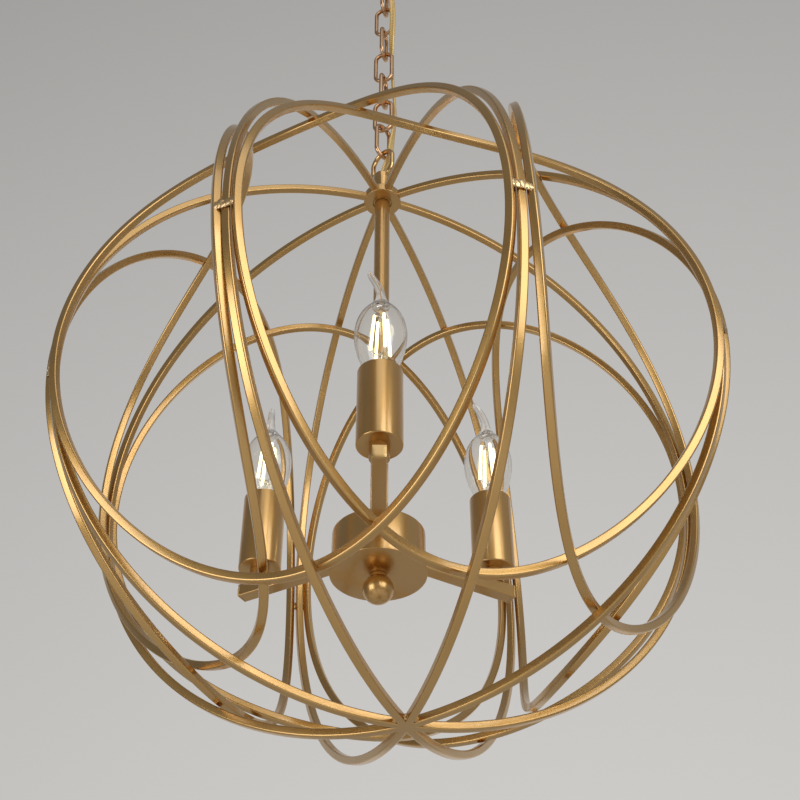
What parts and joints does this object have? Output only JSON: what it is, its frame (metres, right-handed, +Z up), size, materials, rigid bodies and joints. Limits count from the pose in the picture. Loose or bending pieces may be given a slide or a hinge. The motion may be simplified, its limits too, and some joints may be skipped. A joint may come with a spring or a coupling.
{
  "type": "globe cage chandelier",
  "caption": "Globe cage chandelier: square gold bars bent into ribs and overlapping rings round candle lamps, hung on a chain.",
  "frame": {"origin": "middle of the ceiling bracket's top face, where the canopy meets the ceiling", "axes": "+Z up along the chain, -Y towards the front arm, +X to the right seen from the front"},
  "size_m": [0.489, 0.4906, 0.947],
  "materials": {
    "gold_paint": "satin antique gold paint",
    "chain_gold": "satin coppery gold",
    "bright_gold": "polished gold plate",
    "weld_gold": "rough weld under thin gold paint",
    "zinc_steel": "zinc plated",
    "contact_brass": "bare brass",
    "white_plastic": "matt moulding",
    "black_plastic": "heat-resistant moulding",
    "cap_nickel": "nickel plated shell",
    "bulb_glass": "clear",
    "filament_yellow": "phosphor coat",
    "clear_gold_cord": "clear sheath over gold braid"
  },
  "bodies": {
    "canopy_assembly": {"ceiling_bracket": "zinc_steel", "canopy": "gold_paint", "canopy_nipple": "zinc_steel", "bracket_nut": "zinc_steel", "terminal_block": "white_plastic", "canopy_loop": "bright_gold"},
    "chain": {"chain_links": "chain_gold", "power_cord": "clear_gold_cord"},
    "lantern": {"hub_loop": "bright_gold", "hub_nipple": "zinc_steel", "hub_disc": "gold_paint", "rod_washer": "gold_paint", "down_rod": "gold_paint", "cage_rib_1": "gold_paint", "cage_rib_2": "gold_paint", "cage_rib_3": "gold_paint", "cage_rib_4": "gold_paint", "cage_rib_5": "gold_paint", "cage_rib_6": "gold_paint", "cage_rib_7": "gold_paint", "cage_rib_8": "gold_paint", "cage_ring_1": "gold_paint", "cage_ring_2": "gold_paint", "cage_ring_3": "gold_paint", "cage_ring_4": "gold_paint", "cage_ring_5": "gold_paint", "cage_ring_6": "gold_paint", "cage_ring_7": "gold_paint", "cage_ring_8": "gold_paint", "cage_welds": "weld_gold", "bottom_weld": "weld_gold", "drum_shell": "gold_paint", "drum_cover": "gold_paint", "drum_nipple": "zinc_steel", "drum_nuts": "zinc_steel", "arm_1": "gold_paint", "arm_2": "gold_paint", "arm_3": "gold_paint", "arm_end_plates": "gold_paint", "cup_collars": "gold_paint", "cup_nipples": "zinc_steel", "cup_1": "gold_paint", "cup_2": "gold_paint", "cup_3": "gold_paint", "lampholder_1": "black_plastic", "lampholder_2": "black_plastic", "lampholder_3": "black_plastic", "holder_contacts": "contact_brass"},
    "bulb_1": {"bulb_cap_1": "cap_nickel", "bulb_glass_1": "bulb_glass", "bulb_filaments_1": "filament_yellow"},
    "bulb_2": {"bulb_cap_2": "cap_nickel", "bulb_glass_2": "bulb_glass", "bulb_filaments_2": "filament_yellow"},
    "bulb_3": {"bulb_cap_3": "cap_nickel", "bulb_glass_3": "bulb_glass", "bulb_filaments_3": "filament_yellow"},
    "ball_nut": {"finial": "gold_paint"}
  },
  "joints": [
    {"name": "chain_swing", "type": "hinge", "parent": "canopy_assembly", "child": "chain", "pos_m": [0, 0, -0.08655], "axis": [0.2924, 0.9563, 0], "range_deg": [-15, 15], "deforming": ["power_cord"]},
    {"name": "lantern_swing", "type": "hinge", "parent": "chain", "child": "lantern", "pos_m": [0, 0, -0.3859], "axis": [0.7071, 0.7071, 0], "range_deg": [-15, 15], "deforming": ["power_cord"]},
    {"name": "bulb_turn_1", "type": "hinge", "parent": "lantern", "child": "bulb_1", "pos_m": [0, -0.098, -0.73315], "axis": [0, 0, 1], "range_deg": [0, 360]},
    {"name": "bulb_turn_2", "type": "hinge", "parent": "lantern", "child": "bulb_2", "pos_m": [-0.08747, 0.0505, -0.73315], "axis": [0, 0, 1], "range_deg": [0, 360]},
    {"name": "bulb_turn_3", "type": "hinge", "parent": "lantern", "child": "bulb_3", "pos_m": [0.08487, 0.049, -0.73315], "axis": [0, 0, 1], "range_deg": [0, 360]},
    {"name": "finial_turn", "type": "hinge", "parent": "lantern", "child": "ball_nut", "pos_m": [0, 0, -0.84265], "axis": [0, 0, -1], "range_deg": [-360, 0]}
  ]
}
